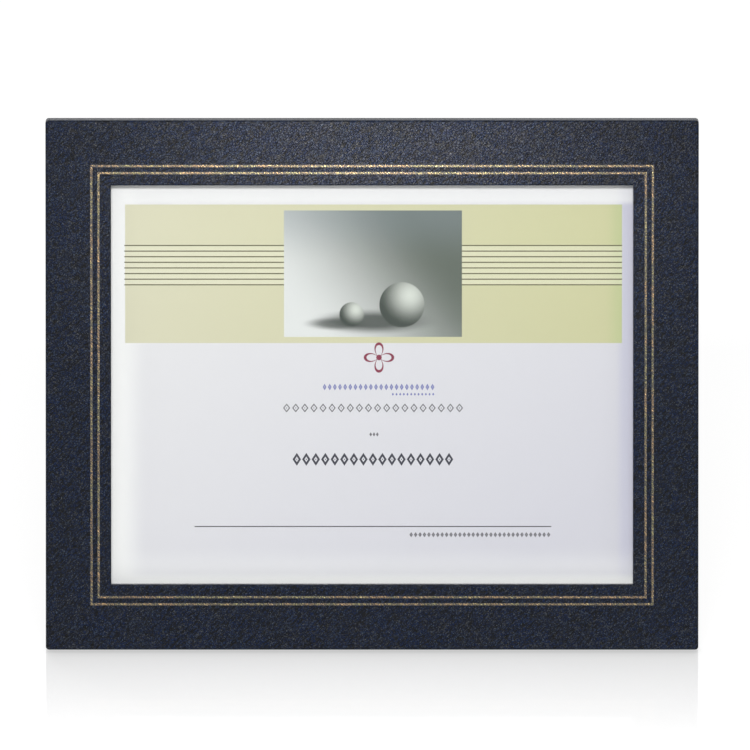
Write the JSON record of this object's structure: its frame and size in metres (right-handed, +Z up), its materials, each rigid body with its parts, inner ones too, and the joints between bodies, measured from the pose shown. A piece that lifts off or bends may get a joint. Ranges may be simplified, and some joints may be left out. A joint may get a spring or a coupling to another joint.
{
  "type": "certificate frame",
  "caption": "Landscape certificate frame in navy leatherette with gold foil lines, glazed, on a hinged easel leg, with turn buttons and wire-ring hangers at the back.",
  "frame": {"origin": "on the table, in the middle of the space that the standing frame takes up", "axes": "+Z up, +X to the right seen from the front, +Y to the back: the face looks along -Y, tilted up 14 degrees"},
  "size_m": [0.3416, 0.104, 0.2734],
  "materials": {
    "navy_leatherette": "fine pebble grain, satin",
    "gold_foil": "pressed foil broken by the grain",
    "mdf": "raw fibreboard",
    "nail_steel": "bright",
    "clear_glass": "clear",
    "printed_paper": "matt, printed",
    "grey_card": "uncoated",
    "black_board": "black paper over hardboard",
    "button_steel": "zinc plated",
    "screw_steel": "zinc plated",
    "plated_hinge": "nickel plated",
    "rivet_steel": "nickel plated",
    "hanger_steel": "zinc plated",
    "ring_wire": "zinc plated",
    "black_ribbon": "woven",
    "staple_steel": "bright"
  },
  "bodies": {
    "frame": {"rail_top": "mdf", "rail_bottom": "mdf", "rail_left": "mdf", "rail_right": "mdf", "corner_nails": "nail_steel", "leatherette_wrap": "navy_leatherette", "foil_line_outer": "gold_foil", "foil_line_inner": "gold_foil", "glazing": "clear_glass", "certificate": "printed_paper", "filler_board": "grey_card", "backing_board": "black_board", "turn_button_screws": "screw_steel", "hinge_base_leaf": "plated_hinge", "hinge_base_rivets": "rivet_steel", "hinge_pin": "plated_hinge", "ribbon_stay": "black_ribbon", "ribbon_staple_board": "staple_steel", "hanger_plate_top": "hanger_steel", "hanger_plate_side": "hanger_steel", "hanger_rivets": "rivet_steel"},
    "leg": {"easel_leg": "black_board", "hinge_leg_leaf": "plated_hinge", "hinge_leg_rivets": "rivet_steel", "ribbon_staple_leg": "staple_steel"},
    "top_ring": {"hanger_ring_top": "ring_wire"},
    "side_ring": {"hanger_ring_side": "ring_wire"},
    "turn_button_top_left_body": {"turn_button_top_left": "button_steel"},
    "turn_button_top_right_body": {"turn_button_top_right": "button_steel"},
    "turn_button_bottom_left_body": {"turn_button_bottom_left": "button_steel"},
    "turn_button_bottom_right_body": {"turn_button_bottom_right": "button_steel"},
    "turn_button_left_body": {"turn_button_left": "button_steel"},
    "turn_button_right_body": {"turn_button_right": "button_steel"}
  },
  "joints": [
    {"name": "leg_fold", "type": "hinge", "parent": "frame", "child": "leg", "pos_m": [0, 0.01128, 0.18698], "axis": [-1, 0, 0], "range_deg": [0, 25.4], "deforming": ["ribbon_stay"]},
    {"name": "top_ring_swing", "type": "hinge", "parent": "frame", "child": "top_ring", "pos_m": [0, 0.02294, 0.23458], "axis": [1, 0, 0], "range_deg": [-6, 166]},
    {"name": "side_ring_swing", "type": "hinge", "parent": "frame", "child": "side_ring", "pos_m": [0.12077, -0.00199, 0.13461], "axis": [0, 0.2419, 0.9703], "range_deg": [-90, 82]},
    {"name": "turn_button_top_left_turn", "type": "hinge", "parent": "frame", "child": "turn_button_top_left_body", "pos_m": [-0.08, 0.02466, 0.24843], "axis": [0, 0.9703, -0.2419], "range_deg": [-90, 90]},
    {"name": "turn_button_top_right_turn", "type": "hinge", "parent": "frame", "child": "turn_button_top_right_body", "pos_m": [0.08, 0.02466, 0.24843], "axis": [0, 0.9703, -0.2419], "range_deg": [-90, 90]},
    {"name": "turn_button_bottom_left_turn", "type": "hinge", "parent": "frame", "child": "turn_button_bottom_left_body", "pos_m": [-0.08, -0.03189, 0.0216], "axis": [0, 0.9703, -0.2419], "range_deg": [-90, 90]},
    {"name": "turn_button_bottom_right_turn", "type": "hinge", "parent": "frame", "child": "turn_button_bottom_right_body", "pos_m": [0.08, -0.03189, 0.0216], "axis": [0, 0.9703, -0.2419], "range_deg": [-90, 90]},
    {"name": "turn_button_left_turn", "type": "hinge", "parent": "frame", "child": "turn_button_left_body", "pos_m": [-0.14864, -0.00362, 0.13502], "axis": [0, 0.9703, -0.2419], "range_deg": [-90, 90]},
    {"name": "turn_button_right_turn", "type": "hinge", "parent": "frame", "child": "turn_button_right_body", "pos_m": [0.14864, -0.00362, 0.13502], "axis": [0, 0.9703, -0.2419], "range_deg": [-90, 90]}
  ]
}
